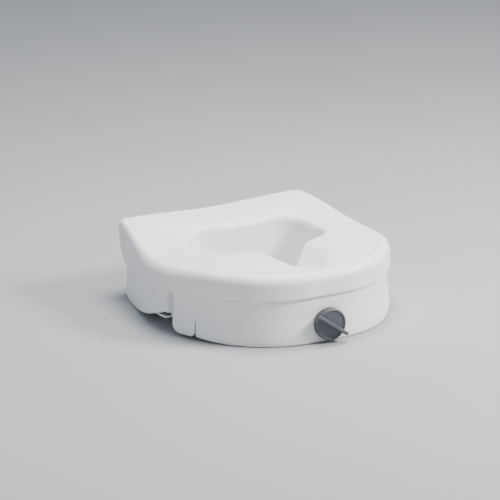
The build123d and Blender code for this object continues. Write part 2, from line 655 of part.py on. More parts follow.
# ---- Export ----
PIECES = {
    "seat_shell": seat_shell, "base_shell": base_shell, "shell_screws": shell_screws,
    "front_bush": front_bush, "guide_rail_left": guide_rail_left, "guide_rail_right": guide_rail_right,
    "rail_screws": rail_screws, "rod_end_bearing": rod_end_bearing, "bearing_screws": bearing_screws,
    "rear_hook_left": rear_hook_left, "rear_hook_right": rear_hook_right, "hook_screws": hook_screws,
    "hook_pad_left": hook_pad_left, "hook_pad_right": hook_pad_right, "rest_pads": rest_pads,
    "lip_pad": lip_pad, "locking_knob": locking_knob, "knob_pin": knob_pin, "threaded_rod": threaded_rod,
    "thrust_washer": thrust_washer, "retaining_clip": retaining_clip, "clamp_slider": clamp_slider,
    "clamp_nut": clamp_nut, "nut_cover": nut_cover, "cover_screws": cover_screws, "clamp_pad": clamp_pad,
    "pad_rivets": pad_rivets,
}
for name, piece in PIECES.items():
    piece.part.label = name
    export_step(piece.part, f"parts/{name}.step")
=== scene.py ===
"""Raised toilet seat: the two moulded shells, the front knob, its screw and the clamp, in Blender."""

import json
import math

import bmesh
import bpy
import numpy as np
from mathutils import Matrix, Quaternion, Vector

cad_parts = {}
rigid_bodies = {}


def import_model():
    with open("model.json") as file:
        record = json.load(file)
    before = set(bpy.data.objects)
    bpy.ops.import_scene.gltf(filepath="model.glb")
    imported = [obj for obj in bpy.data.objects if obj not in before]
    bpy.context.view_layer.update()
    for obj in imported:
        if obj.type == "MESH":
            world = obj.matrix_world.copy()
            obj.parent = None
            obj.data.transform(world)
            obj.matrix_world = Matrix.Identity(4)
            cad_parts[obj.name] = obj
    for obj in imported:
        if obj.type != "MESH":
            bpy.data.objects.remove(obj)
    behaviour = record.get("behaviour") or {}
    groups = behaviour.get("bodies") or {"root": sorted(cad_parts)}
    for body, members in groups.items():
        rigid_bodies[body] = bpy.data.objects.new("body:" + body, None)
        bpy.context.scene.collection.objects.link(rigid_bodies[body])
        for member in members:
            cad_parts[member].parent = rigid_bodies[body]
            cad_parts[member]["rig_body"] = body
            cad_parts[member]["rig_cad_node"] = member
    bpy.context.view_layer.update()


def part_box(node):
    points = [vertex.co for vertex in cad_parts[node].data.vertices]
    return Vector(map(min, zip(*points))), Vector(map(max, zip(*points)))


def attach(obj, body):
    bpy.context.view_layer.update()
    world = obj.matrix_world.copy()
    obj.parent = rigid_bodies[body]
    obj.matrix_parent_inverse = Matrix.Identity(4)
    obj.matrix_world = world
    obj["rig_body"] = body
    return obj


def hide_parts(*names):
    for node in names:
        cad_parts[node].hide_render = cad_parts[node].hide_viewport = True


bl_info = {
    "name": "Raised Toilet Seat",
    "version": (1, 0, 0),
    "blender": (4, 5, 0),
    "location": "View3D > Sidebar > Raised Seat",
    "description": "Builds a clamp-on raised toilet seat round its packed frame",
    "category": "Add Mesh",
}

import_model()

MM = 0.001
SEAT_LOW, SEAT_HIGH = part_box("seat_shell")
KNOB_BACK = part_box("locking_knob")[1].y
ROD_LOW, ROD_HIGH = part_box("threaded_rod")
FRONT_Y, REAR_Y = SEAT_LOW.y, SEAT_HIGH.y
MID_Y = (FRONT_Y + REAR_Y) / 2
HALF_WIDTH = SEAT_HIGH.x
FUNNEL_FOOT = 12 * MM
ROD_Z = (ROD_LOW.z + ROD_HIGH.z) / 2


# ---- Plan outlines ----
def moved_polygon(corners, inset):
    """The convex polygon with every side moved inwards by inset; corners run anticlockwise."""
    moved = []
    count = len(corners)
    for i in range(count):
        before, here, after = (np.array(corners[(i + k) % count], float) for k in (-1, 0, 1))
        one, two = (here - before), (after - here)
        one, two = one / np.linalg.norm(one), two / np.linalg.norm(two)
        normal_one, normal_two = np.array((-one[1], one[0])), np.array((-two[1], two[0]))
        middle = normal_one + normal_two
        moved.append(here + middle * inset / (1 + normal_one @ normal_two))
    return moved


def rounded_polygon(corners, radii, inset=0.0, step=0.8 * MM):
    """Dense points of a polygon whose corners are rounded, drawn in by inset."""
    points = []
    count = len(corners)
    moved = moved_polygon(corners, inset)
    for i in range(count):
        before, here, after = moved[i - 1], moved[i], moved[(i + 1) % count]
        one = (before - here) / np.linalg.norm(before - here)
        two = (after - here) / np.linalg.norm(after - here)
        hollow = one[0] * two[1] - one[1] * two[0] > 0
        radius = max(radii[i] + (inset if hollow else -inset), 0.5 * MM)
        half_angle = math.acos(np.clip(one @ two, -1, 1)) / 2
        bisector = (one + two) / np.linalg.norm(one + two)
        centre = here + bisector * radius / math.sin(half_angle)
        first = here + one * radius / math.tan(half_angle) - centre
        turn = math.pi - 2 * half_angle
        turn = -turn if hollow else turn
        arc_steps = max(int(abs(turn) * radius / step), 3)
        for k in range(arc_steps + 1):
            angle = turn * k / arc_steps
            cos_a, sin_a = math.cos(angle), math.sin(angle)
            points.append(centre + (first[0] * cos_a - first[1] * sin_a, first[0] * sin_a + first[1] * cos_a))
    dense = []
    for i, point in enumerate(points):
        after = points[(i + 1) % len(points)]
        pieces = max(int(np.linalg.norm(after - point) / step), 1)
        dense += [point + (after - point) * k / pieces for k in range(pieces)]
    return np.array(dense)


def both_sides(right_half):
    """Anticlockwise corners from those of the right half, listed from front to rear."""
    return right_half + [(-x, y) for x, y in reversed(right_half)]


FRONT_SLANT = 116 * MM  # length, each way, of the bevel that the front corners are rounded from
HIP_Y = MID_Y + 41 * MM  # the sides draw in behind this
REAR_NARROWING = 31.5 * MM
FRONT_RADIUS, SIDE_RADIUS, HIP_RADIUS = 150 * MM, 230 * MM, 200 * MM
TOP_CORNER = 11 * MM
CENTRE = np.array((0.0, MID_Y + 12 * MM))


def seat_corners(rear=REAR_Y):
    taper = REAR_NARROWING / (REAR_Y - HIP_Y)
    right = [
        (HALF_WIDTH - FRONT_SLANT, FRONT_Y),
        (HALF_WIDTH, FRONT_Y + FRONT_SLANT),
        (HALF_WIDTH, HIP_Y),
        (HALF_WIDTH - taper * (rear - HIP_Y), rear),
    ]
    return both_sides(right)


def seat_radii(rear_corner):
    half = [FRONT_RADIUS, SIDE_RADIUS, HIP_RADIUS, rear_corner]
    return half + half[::-1]


# Corners of the opening's right half from its point to the rear: place at the funnel's lower edge,
# place at the rim, and the radii there
MOUTH = (
    ((0, -52), (0, -98), 8, 5),
    ((32, -25), (47, -49), 20, 26),
    ((83, 0), (114, -8), 40, 44),
    ((84, 84), (124, 108), 44, 50),
)


def mouth_outline(up, inset=0.0):
    """The opening's outline; up is 0 at the funnel's lower edge and 1 at its rim."""
    right, radii = [], []
    for low, rim, low_radius, rim_radius in MOUTH:
        x, y = (low[k] + (rim[k] - low[k]) * up for k in (0, 1))
        right.append((x * MM, MID_Y + y * MM))
        radii.append((low_radius + (rim_radius - low_radius) * up) * MM)
    corners = right + [(-x, y) for x, y in reversed(right[1:])]
    return rounded_polygon(corners, radii + radii[:0:-1], inset)


class RayTable:
    """Distance from the centre to an outline, by direction."""

    def __init__(self, points):
        away = points - CENTRE
        angle = np.arctan2(away[:, 1], away[:, 0])
        order = np.argsort(angle)
        self.angle, self.radius = angle[order], np.linalg.norm(away, axis=1)[order]

    def __call__(self, angle):
        return np.interp(angle, self.angle, self.radius, period=2 * math.pi)


def smooth(t):
    t = np.clip(t, 0.0, 1.0)
    return t * t * (3 - 2 * t)


def cosine_ramp(t):
    return (1 - np.cos(np.pi * np.clip(t, 0.0, 1.0))) / 2


# ---- Heights ----
VALLEY_Y = MID_Y - 98 * MM  # where the scoop meets the opening's point
VALLEY_LOW = 96 * MM
DIP_Y = MID_Y + 25 * MM
DIP_HEIGHT = 108 * MM
REAR_RISE, FRONT_RISE = 22.5 * MM, 8.5 * MM
REAR_SAG, REAR_SAG_WIDTH = 5.0 * MM, 95 * MM
CROWN = 5.5 * MM
JOINT_FRONT, JOINT_DROP = 76 * MM, 26 * MM


def valley_height(x, y):
    """The V-shaped scoop that leads from the front edge down to the opening's point."""
    ahead = np.clip(VALLEY_Y - y, 0.0, 90 * MM)
    blunt = 4 * MM + 0.35 * ahead
    steepness = 0.52 - 2.6 * ahead
    return VALLEY_LOW + 0.24 * ahead + steepness * (np.sqrt(x * x + blunt * blunt) - blunt)


def lower_of(a, b, blend):
    """The smaller of two heights, with the crease between them rounded."""
    gap = np.clip(0.5 + (b - a) / (2 * blend), 0.0, 1.0)
    return b + (a - b) * gap - blend * gap * (1 - gap)


def top_height(x, y, crown=0.0):
    """The top: high at the rear, dipped beside the thighs and scooped in front.

    crown, from 0 to 1, raises it near the opening.
    """
    rear = REAR_RISE * cosine_ramp((y - DIP_Y) / (REAR_Y - DIP_Y))
    front = FRONT_RISE * cosine_ramp((DIP_Y - y) / (150 * MM))
    rearmost = smooth((y - MID_Y - 80 * MM) / (100 * MM))
    rear_sag = REAR_SAG * rearmost * np.exp(-((x / REAR_SAG_WIDTH) ** 2))
    plain = DIP_HEIGHT + rear + front - rear_sag + CROWN * crown
    return np.where(y < MID_Y, lower_of(plain, valley_height(x, y), 5 * MM), plain)


def joint_height(y):
    """Height of the joint between the two shells, which falls towards the rear."""
    bend = MID_Y + 5 * MM
    return JOINT_FRONT - JOINT_DROP * cosine_ramp((y - bend) / (REAR_Y - bend))


# ---- Modelling helpers ----
def settings():
    return bpy.context.scene.raised_seat


def deselect():
    if bpy.context.mode != "OBJECT":
        bpy.ops.object.mode_set(mode="OBJECT")
    bpy.ops.object.select_all(action="DESELECT")


def named(name):
    piece = bpy.context.object
    piece.name = name
    piece.data.name = name
    return piece


def edit_bmesh(piece):
    return bmesh.from_edit_mesh(piece.data)


def loop_stack(name, rings, ends="open"):
    """A surface drawn out ring by ring: a circle is added, shaped to the first ring, then extruded on.

    ends is "open", "capped" (both ends filled) or "joined" (the last ring meets the first).
    """
    deselect()
    bpy.ops.mesh.primitive_circle_add(vertices=len(rings[0]), radius=0.1, fill_type="NOTHING")
    piece = named(name)
    bpy.ops.object.mode_set(mode="EDIT")
    bm = edit_bmesh(piece)
    column = bm.verts.layers.int.new("column")
    bm.verts.ensure_lookup_table()
    for i, vert in enumerate(bm.verts):
        vert[column] = i
        vert.co = rings[0][i]
    bmesh.update_edit_mesh(piece.data)
    bpy.ops.mesh.select_all(action="SELECT")
    for ring in rings[1:]:
        bpy.ops.mesh.extrude_edges_move()
        bm = edit_bmesh(piece)
        column = bm.verts.layers.int["column"]
        for vert in bm.verts:
            if vert.select:
                vert.co = ring[vert[column]]
    bmesh.update_edit_mesh(piece.data)
    if ends == "joined":
        bpy.ops.mesh.select_all(action="DESELECT")
        bpy.ops.mesh.select_non_manifold()
        bpy.ops.mesh.bridge_edge_loops()
    bpy.ops.mesh.select_all(action="SELECT")
    if ends == "capped":
        bpy.ops.mesh.fill_holes(sides=0)
    bpy.ops.mesh.normals_make_consistent(inside=False)
    bpy.ops.object.mode_set(mode="OBJECT")
    return piece


def circle_rings(profile, centre, axis, steps, ripple=None):
    """Rings of a turned shape about a vertical or lengthways axis.

    The profile lists (radius, place along the axis); ripple gives what is added to the radius, by direction.
    """
    angle = 2 * math.pi * np.arange(steps) / steps
    rings = []
    for radius, along in profile:
        spread = radius * np.ones(steps) if ripple is None else radius + ripple(radius, along, angle)
        a, b = spread * np.cos(angle), spread * np.sin(angle)
        if axis == "Z":
            ring = (centre[0] + a, centre[1] + b, np.full(steps, along))
        else:
            ring = (centre[0] + a, np.full(steps, along), centre[2] - b)
        rings.append(np.stack(ring, axis=1))
    return rings


def soft_box(name, low, high, width):
    """A box between two corners with rounded edges."""
    deselect()
    middle = [(a + b) / 2 for a, b in zip(low, high)]
    bpy.ops.mesh.primitive_cube_add(size=1.0, location=middle, scale=[b - a for a, b in zip(low, high)])
    bpy.ops.object.transform_apply(location=True, rotation=True, scale=True)
    piece = named(name)
    apply_modifier(piece, "BEVEL", width=width, segments=2)
    return piece


def joined(name, pieces):
    """The pieces as one object."""
    deselect()
    for piece in pieces:
        piece.select_set(True)
    bpy.context.view_layer.objects.active = pieces[0]
    if len(pieces) > 1:
        bpy.ops.object.join()
    return named(name)


def cut_away(piece, cutters):
    """Takes the cutters' space out of the piece."""
    cutter = joined("cutter", cutters)
    apply_modifier(piece, "BOOLEAN", object=cutter, operation="DIFFERENCE", solver="EXACT", use_self=True)
    deselect()
    cutter.select_set(True)
    bpy.ops.object.delete()


def bevelled_copy(node, width, degrees=30):
    """A copy of a CAD piece with its doubles merged and its sharp edges rounded."""
    deselect()
    source = bpy.data.objects[node]
    source.select_set(True)
    bpy.context.view_layer.objects.active = source
    bpy.ops.object.duplicate()
    piece = named(f"{node}_finished")
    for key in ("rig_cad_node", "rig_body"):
        del piece[key]
    bpy.ops.object.parent_clear(type="CLEAR_KEEP_TRANSFORM")
    bpy.ops.object.transform_apply(location=True, rotation=True, scale=True)
    bpy.ops.object.mode_set(mode="EDIT")
    bpy.ops.mesh.select_all(action="SELECT")
    bpy.ops.mesh.remove_doubles(threshold=0.01 * MM)
    bpy.ops.mesh.dissolve_limited(angle_limit=math.radians(1.0))
    bpy.ops.object.mode_set(mode="OBJECT")
    apply_modifier(
        piece, "BEVEL", width=width, segments=2, limit_method="ANGLE", angle_limit=math.radians(degrees)
    )
    smooth_shading(piece, 40)
    return piece


def apply_modifier(piece, kind, **values):
    """Adds a modifier with those values and applies it."""
    bpy.context.view_layer.objects.active = piece
    modifier = piece.modifiers.new(kind.title(), kind)
    for key, value in values.items():
        setattr(modifier, key, value)
    bpy.ops.object.modifier_apply(modifier=modifier.name)


def smooth_shading(piece, degrees=35):
    deselect()
    piece.select_set(True)
    bpy.context.view_layer.objects.active = piece
    bpy.ops.object.shade_smooth_by_angle(angle=math.radians(degrees))


def finish_piece(piece, material, body, nodes=()):
    piece.data.materials.clear()
    piece.data.materials.append(material)
    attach(piece, body)
    if nodes:
        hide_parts(*nodes)


# ---- Materials ----
def new_material(name):
    material = bpy.data.materials.get(name)
    if material:
        return material, None
    material = bpy.data.materials.new(name)
    material.use_nodes = True
    return material, material.node_tree


def add_node(tree, kind, **inputs):
    node = tree.nodes.new(kind)
    for key, value in inputs.items():
        node.inputs[key].default_value = value
    return node


def noise(tree, coordinates, scale, detail=3.0, roughness=0.5):
    node = add_node(tree, "ShaderNodeTexNoise", Scale=scale, Detail=detail, Roughness=roughness)
    tree.links.new(coordinates, node.inputs["Vector"])
    return node


def ramp(tree, source, stops):
    node = tree.nodes.new("ShaderNodeValToRGB")
    elements = node.color_ramp.elements
    while len(elements) < len(stops):
        elements.new(0.5)
    for element, (position, colour) in zip(elements, stops):
        element.position, element.color = position, (*colour, 1.0)
    tree.links.new(source, node.inputs["Fac"])
    return node


def value_range(tree, source, low, high):
    node = add_node(tree, "ShaderNodeMapRange")
    node.inputs["To Min"].default_value = low
    node.inputs["To Max"].default_value = high
    tree.links.new(source, node.inputs["Value"])
    return node


def shaded(colour, factor):
    return tuple(min(c * factor, 1.0) for c in colour)


def moulded_plastic(name, colour, low_rough, high_rough, grain_scale, grain_depth, soft=0.0, contrast=0.03):
    """Moulded plastic: clouded colour, uneven gloss and a fine grain in the surface."""
    material, tree = new_material(name)
    if tree is None:
        return material
    shader = tree.nodes["Principled BSDF"]
    place = tree.nodes.new("ShaderNodeTexCoord").outputs["Object"]
    clouds = noise(tree, place, 9.0, 4.0, 0.55)
    stops = [(0.3, shaded(colour, 1 - contrast)), (0.7, shaded(colour, 1 + contrast))]
    tint = ramp(tree, clouds.outputs["Fac"], stops)
    tree.links.new(tint.outputs["Color"], shader.inputs["Base Color"])
    flow = noise(tree, place, 34.0, 5.0, 0.6)
    gloss = value_range(tree, flow.outputs["Fac"], low_rough, high_rough)
    tree.links.new(gloss.outputs["Result"], shader.inputs["Roughness"])
    grain = noise(tree, place, grain_scale, 2.0, 0.5)
    ripple = noise(tree, place, grain_scale / 14.0, 2.0, 0.4)
    fine = add_node(tree, "ShaderNodeBump", Strength=0.35, Distance=grain_depth)
    coarse = add_node(tree, "ShaderNodeBump", Strength=0.5, Distance=grain_depth * 3.0)
    tree.links.new(ripple.outputs["Fac"], coarse.inputs["Height"])
    tree.links.new(grain.outputs["Fac"], fine.inputs["Height"])
    tree.links.new(coarse.outputs["Normal"], fine.inputs["Normal"])
    tree.links.new(fine.outputs["Normal"], shader.inputs["Normal"])
    shader.inputs["IOR"].default_value = 1.5
    if soft:
        shader.inputs["Subsurface Weight"].default_value = soft
        shader.inputs["Subsurface Radius"].default_value = (1.0, 0.85, 0.7)
        shader.inputs["Subsurface Scale"].default_value = 4 * MM
    return material


def plated_metal(name, colour, low_rough, high_rough, stretch):
    """Plated or turned metal: fine drawn lines in the gloss, with slight stains."""
    material, tree = new_material(name)
    if tree is None:
        return material
    shader = tree.nodes["Principled BSDF"]
    place = tree.nodes.new("ShaderNodeTexCoord").outputs["Object"]
    mapping = add_node(tree, "ShaderNodeMapping", Scale=stretch)
    tree.links.new(place, mapping.inputs["Vector"])
    lines = noise(tree, mapping.outputs["Vector"], 400.0, 4.0, 0.6)
    stains = noise(tree, place, 160.0, 4.0, 0.6)
    tint = ramp(tree, stains.outputs["Fac"], [(0.35, shaded(colour, 0.78)), (0.62, colour)])
    tree.links.new(tint.outputs["Color"], shader.inputs["Base Color"])
    gloss = value_range(tree, lines.outputs["Fac"], low_rough, high_rough)
    tree.links.new(gloss.outputs["Result"], shader.inputs["Roughness"])
    bump = add_node(tree, "ShaderNodeBump", Strength=0.3, Distance=0.03 * MM)
    tree.links.new(lines.outputs["Fac"], bump.inputs["Height"])
    tree.links.new(bump.outputs["Normal"], shader.inputs["Normal"])
    shader.inputs["Metallic"].default_value = 1.0
    return material


def white_shell():
    colour = tuple(settings().shell_colour)
    return moulded_plastic(
        "white_polyethylene", colour, 0.34, 0.5, 1500.0, 0.05 * MM, soft=0.25, contrast=0.012
    )


def knob_plastic():
    colour = tuple(settings().knob_colour)
    return moulded_plastic("grey_knob_plastic", colour, 0.32, 0.5, 2600.0, 0.05 * MM, contrast=0.12)


def grey_nylon():
    colour = (0.105, 0.11, 0.12)
    return moulded_plastic("grey_glass_nylon", colour, 0.42, 0.62, 2100.0, 0.06 * MM, contrast=0.14)


def white_nylon():
    colour = (0.62, 0.60, 0.54)
    return moulded_plastic(
        "natural_nylon", colour, 0.38, 0.55, 1700.0, 0.04 * MM, soft=0.15, contrast=0.05
    )


def grey_rubber():
    colour = (0.035, 0.035, 0.038)
    return moulded_plastic("grey_rubber", colour, 0.62, 0.86, 1300.0, 0.10 * MM, contrast=0.2)


def zinc_steel():
    return plated_metal("zinc_plated_steel", (0.60, 0.62, 0.64), 0.22, 0.42, (1.0, 1.0, 6.0))


def turned_brass():
    return plated_metal("turned_brass", (0.72, 0.52, 0.22), 0.2, 0.4, (1.0, 8.0, 1.0))


# ---- Settings ----
class RaisedSeatSettings(bpy.types.PropertyGroup):
    """Sizes and colours that a user would change."""

    shell_colour: bpy.props.FloatVectorProperty(
        name="Shell colour", description="Colour of both moulded shells", subtype="COLOR",
        default=(0.84, 0.835, 0.82), min=0.0, max=1.0,
    )
    knob_colour: bpy.props.FloatVectorProperty(
        name="Knob colour", description="Colour of the locking knob", subtype="COLOR",
        default=(0.068, 0.072, 0.084), min=0.0, max=1.0,
    )
    floor_colour: bpy.props.FloatVectorProperty(
        name="Floor colour", description="Colour of the plain floor", subtype="COLOR",
        default=(0.36, 0.37, 0.38), min=0.0, max=1.0,
    )
    edge_roll: bpy.props.FloatProperty(
        name="Edge roll", description="Radius of the rolled edge round the top", unit="LENGTH",
        default=17 * MM,
    )
    mouth_roll: bpy.props.FloatProperty(
        name="Mouth roll", description="Radius of the roll into the opening", unit="LENGTH",
        default=13 * MM,
    )
    wall: bpy.props.FloatProperty(
        name="Wall", description="Thickness of the moulded shells", unit="LENGTH", default=3.5 * MM,
    )
    columns: bpy.props.IntProperty(
        name="Columns", description="Points round each ring of the seat shell", default=360, min=60,
    )


# ---- Seat shell ----
def seat_directions(count):
    """Directions from the centre that are evenly spaced along the outer outline."""
    points = rounded_polygon(seat_corners(), seat_radii(TOP_CORNER))
    lengths = np.linalg.norm(np.diff(points, axis=0, append=points[:1]), axis=1)
    travelled = np.concatenate(([0.0], np.cumsum(lengths)))
    front = np.argmin(points[:, 1] + np.abs(points[:, 0]))
    wanted = (travelled[front] + travelled[-1] * np.arange(count) / count) % travelled[-1]
    closed = np.vstack((points, points[:1]))
    x = np.interp(wanted, travelled, closed[:, 0])
    y = np.interp(wanted, travelled, closed[:, 1])
    return np.arctan2(y - CENTRE[1], x - CENTRE[0])


def seat_rings(count, roll, mouth_roll):
    """Rings of the seat shell from the joint up the side, over the top and down the funnel."""
    angle = seat_directions(count)
    ray = np.stack((np.cos(angle), np.sin(angle)), axis=1)

    def outline(inset, corner=TOP_CORNER):
        return RayTable(rounded_polygon(seat_corners(), seat_radii(corner), inset))(angle)

    def place(radius):
        plan = CENTRE + ray * radius[:, None]
        return plan[:, 0], plan[:, 1]

    def leaning(x, y, z):
        """The lower part of the rear curves in, its corners most."""
        low = np.clip((100 * MM - z) / (50 * MM), 0.0, 1.2) ** 2
        rear = smooth((y - (REAR_Y - 90 * MM)) / (80 * MM))
        return np.stack((x * (1 - 0.034 * low * rear), y - 13 * MM * low * rear, z), axis=1)

    outer_x, outer_y = place(outline(0.0))
    rear_share = smooth((outer_y - MID_Y) / (150 * MM))
    roll = roll * (1 - 0.45 * rear_share)
    bottom = joint_height(outer_y)
    shoulder = top_height(outer_x, outer_y) - roll
    rings = []
    for t in (0.0, 0.02, 0.06, 0.15, 0.3, 0.45, 0.6, 0.75, 0.9):
        lip = 0.9 * MM * math.exp(-((t / 0.035) ** 2))
        x, y = place(outline(0.0) - lip)
        rings.append(leaning(x, y, bottom + (shoulder - bottom) * t))
    rolls = 12
    for step in range(rolls + 1):
        phi = math.pi / 2 * step / rolls
        inset = roll * (1 - math.cos(phi))
        edge = outline(0.0, TOP_CORNER + 5 * MM * step / rolls)
        x, y = place(edge - inset)
        rings.append(leaning(x, y, top_height(x, y) - roll + roll * math.sin(phi)))

    rim_rear = smooth((outer_y - (MID_Y + 10 * MM)) / (90 * MM))
    tight = mouth_roll * (0.4 + 0.6 * rim_rear)
    rim = RayTable(mouth_outline(1.0))(angle)
    start = outline(0.0, 16 * MM) - roll
    spans = 20
    for step in range(1, spans + 1):
        t = step / spans
        x, y = place(start + (rim - start) * t)
        rings.append(np.stack((x, y, top_height(x, y, crown=smooth(t * 1.15))), axis=1))
    edge_z = rings[-1][:, 2]
    # the roll follows a quarter ellipse from the rim's flat to the steep wall
    depth = tight * 1.25
    foot = rim - tight
    turns = 9
    for step in range(1, turns + 1):
        phi = math.pi / 2 * step / turns
        x, y = place(rim + (foot - rim) * math.sin(phi))
        rings.append(np.stack((x, y, edge_z - depth * (1 - math.cos(phi))), axis=1))
    wall_z = rings[-1][:, 2]
    throat = RayTable(mouth_outline(0.0))(angle)
    falls = 12
    for step in range(1, falls + 1):
        t = step / falls
        x, y = place(foot + (throat - foot) * t ** 1.12)
        rings.append(np.stack((x, y, wall_z + (FUNNEL_FOOT - wall_z) * t), axis=1))
    return rings


class RAISEDSEAT_OT_seat_shell(bpy.types.Operator):
    """Model the dished seat shell with its rolled edge and splash funnel"""

    bl_idname = "raised_seat.seat_shell"
    bl_label = "Seat Shell"

    def execute(self, context):
        sizes = settings()
        piece = loop_stack("seat_shell_skin", seat_rings(sizes.columns, sizes.edge_roll, sizes.mouth_roll))
        apply_modifier(piece, "SOLIDIFY", thickness=sizes.wall, offset=-1.0, use_even_offset=False)
        apply_modifier(
            piece, "BEVEL", width=1.1 * MM, segments=3, limit_method="ANGLE", angle_limit=math.radians(50)
        )
        smooth_shading(piece)
        finish_piece(piece, white_shell(), "root", ["seat_shell"])
        return {"FINISHED"}


# ---- Base shell ----
BASE_INSET = 4.5 * MM
BASE_REAR = REAR_Y - 13 * MM
BASE_CORNER = 30 * MM
RECESS_Y = (MID_Y - 37 * MM, MID_Y - 23 * MM)
RECESS_DEPTH = 12 * MM
RECESS_TOP = 70 * MM
DECK_LOW, DECK_HIGH = 20 * MM, 23 * MM


def quarter_drop(along, radius):
    """Rise of a quarter round's edge at a distance along it from its lowest point."""
    return radius - math.sqrt(max(radius * radius - along * along, 0.0))


def skirt_bottom(y):
    """Height of the skirt's lower edge: rear skirt, recess, ear, notch and front lip."""
    v = (y - MID_Y) / MM
    rear_round, rear_flat, rise_end = 148, 120, -16
    recess_front, ear_rear, ear_front, notch_rear, notch_front, lip_flat = -37, -51, -72, -82, -84, -150
    ear_low = 4
    if v > rear_round:
        return quarter_drop(min(v - rear_round, 20), 20) * MM
    if v > rear_flat:
        return 0.0
    if v > rise_end:
        t = (rear_flat - v) / (rear_flat - rise_end)
        return 31 * (1.5 * t * t - 0.5 * t * t * t) * MM
    if v > recess_front:
        return (31 if v > -23 else 22) * MM
    if v > ear_rear:
        return (ear_low + quarter_drop(v - ear_rear, 14)) * MM
    if v > ear_front:
        return ear_low * MM
    if v > notch_rear:
        return (ear_low + quarter_drop(ear_front - v, 10)) * MM
    if v > notch_front:
        return 29 * MM
    if v > lip_flat:
        return 5 * ((v - lip_flat) / (notch_front - lip_flat)) ** 2 * MM
    return 0.0


def base_outline(inset=0.0, step=0.8 * MM):
    return rounded_polygon(seat_corners(BASE_REAR), seat_radii(BASE_CORNER), inset, step)


def base_columns():
    """Directions of the base shell's columns, closer together at the recess and the notch."""
    points = base_outline(step=0.2 * MM)
    steps = np.linalg.norm(np.diff(points, axis=0, append=points[:1]), axis=1)
    v = (points[:, 1] - MID_Y) / MM
    fine = ((v > -88) & (v < -70)) | ((v > -42) & (v < -18))
    spacing = np.where(fine, 0.5 * MM, 2.0 * MM)
    count = np.concatenate(([0.0], np.cumsum(steps / spacing)))
    wanted = np.arange(int(count[-1])) * count[-1] / int(count[-1])
    closed = np.vstack((points, points[:1]))
    x, y = (np.interp(wanted, count, closed[:, k]) for k in (0, 1))
    return np.arctan2(y - CENTRE[1], x - CENTRE[0])


def base_rings():
    """Rings of the base shell from inside the joint down to the skirt's lower edge."""
    angle = base_columns()
    ray = np.stack((np.cos(angle), np.sin(angle)), axis=1)

    def outline(inset):
        return RayTable(base_outline(inset))(angle)

    insets = np.linspace(0.0, 16 * MM, 33)
    table = np.stack([outline(inset) for inset in insets])

    def place(inset):
        """Points at an inset given for each column."""
        at = np.clip(inset / insets[1], 0, len(insets) - 1.001)
        low = at.astype(int)
        share = at - low
        columns = np.arange(len(angle))
        radius = table[low, columns] * (1 - share) + table[low + 1, columns] * share
        plan = CENTRE + ray * radius[:, None]
        return plan[:, 0], plan[:, 1]

    _, y0 = place(np.full(len(angle), BASE_INSET))
    bottom = np.array([skirt_bottom(y) for y in y0])
    joint = joint_height(y0)
    rearward = smooth((y0 - MID_Y) / (140 * MM))
    edge = 0.9 * MM
    behind_front = smooth((y0 - RECESS_Y[0] + edge) / (2 * edge))
    in_recess = behind_front * smooth((RECESS_Y[1] + edge - y0) / (2 * edge))

    def ring(z, extra):
        flare = (3.4 * MM - 1.6 * MM * rearward) * smooth((52 * MM - z) / (40 * MM))
        x, y = place(BASE_INSET - flare + extra)
        depth = RECESS_DEPTH * in_recess * smooth((RECESS_TOP - z) / (5 * MM))
        return np.stack((x - np.sign(x) * depth, y, z), axis=1)

    groove = ((7, 1.0), (0.2, 1.0), (-0.6, 0.35), (-1.6, 0.0))
    rings = [ring(joint + rise * MM, inset * MM) for rise, inset in groove]
    turn = 5.5 * MM
    low = bottom + turn
    high = joint - 1.6 * MM
    falls = 18
    for step in range(1, falls + 1):
        rings.append(ring(high + (low - high) * step / falls, 0.0))
    rounds = 7
    for step in range(1, rounds + 1):
        phi = math.radians(78) * step / rounds
        rings.append(ring(low - turn * math.sin(phi), turn * 0.62 * (1 - math.cos(phi))))
    return rings


def bush_hole():
    """The space of the bush in the front wall."""
    profile = [(9 * MM, FRONT_Y - 5 * MM), (9 * MM, FRONT_Y + 30 * MM)]
    return loop_stack("bush_hole", circle_rings(profile, (0, 0, ROD_Z), "Y", 48), "capped")


class RAISEDSEAT_OT_base_shell(bpy.types.Operator):
    """Model the base shell's skirt with its recesses, ears, notches and front lip"""

    bl_idname = "raised_seat.base_shell"
    bl_label = "Base Shell"

    def execute(self, context):
        piece = loop_stack("base_shell_skin", base_rings())
        apply_modifier(piece, "SOLIDIFY", thickness=settings().wall, offset=-1.0, use_even_offset=False)
        cut_away(piece, [bush_hole()])
        smooth_shading(piece, 38)
        finish_piece(piece, white_shell(), "root", ["base_shell"])
        return {"FINISHED"}


SHELL_SCREWS = [
    (side * x * MM, MID_Y + y * MM) for x, y in ((148, 132), (164, 6), (96, -130)) for side in (-1, 1)
]


def deck_rings():
    """Rings of the deck plate's section, from its outer edge to the edge round the opening."""
    count = 240
    angle = 2 * math.pi * np.arange(count) / count
    ray = np.stack((np.cos(angle), np.sin(angle)), axis=1)
    outer = RayTable(base_outline(BASE_INSET + 2.2 * MM))(angle)
    inner = RayTable(mouth_outline(0.1, -5 * MM))(angle)
    recess = np.abs(CENTRE[1] + ray[:, 1] * outer - (MID_Y - 30 * MM)) < 12 * MM
    outer = np.where(recess, outer - 15 * MM, outer)
    rings = []
    for radius, z in ((outer, DECK_LOW), (outer, DECK_HIGH), (inner, DECK_HIGH), (inner, DECK_LOW)):
        plan = CENTRE + ray * radius[:, None]
        rings.append(np.stack((plan[:, 0], plan[:, 1], np.full(count, z)), axis=1))
    return rings


def half_width(y, inset):
    """Half the width of the base's outline at y."""
    points = base_outline(inset)
    near = points[np.abs(points[:, 1] - y) < 1.5 * MM]
    return near[:, 0].max()


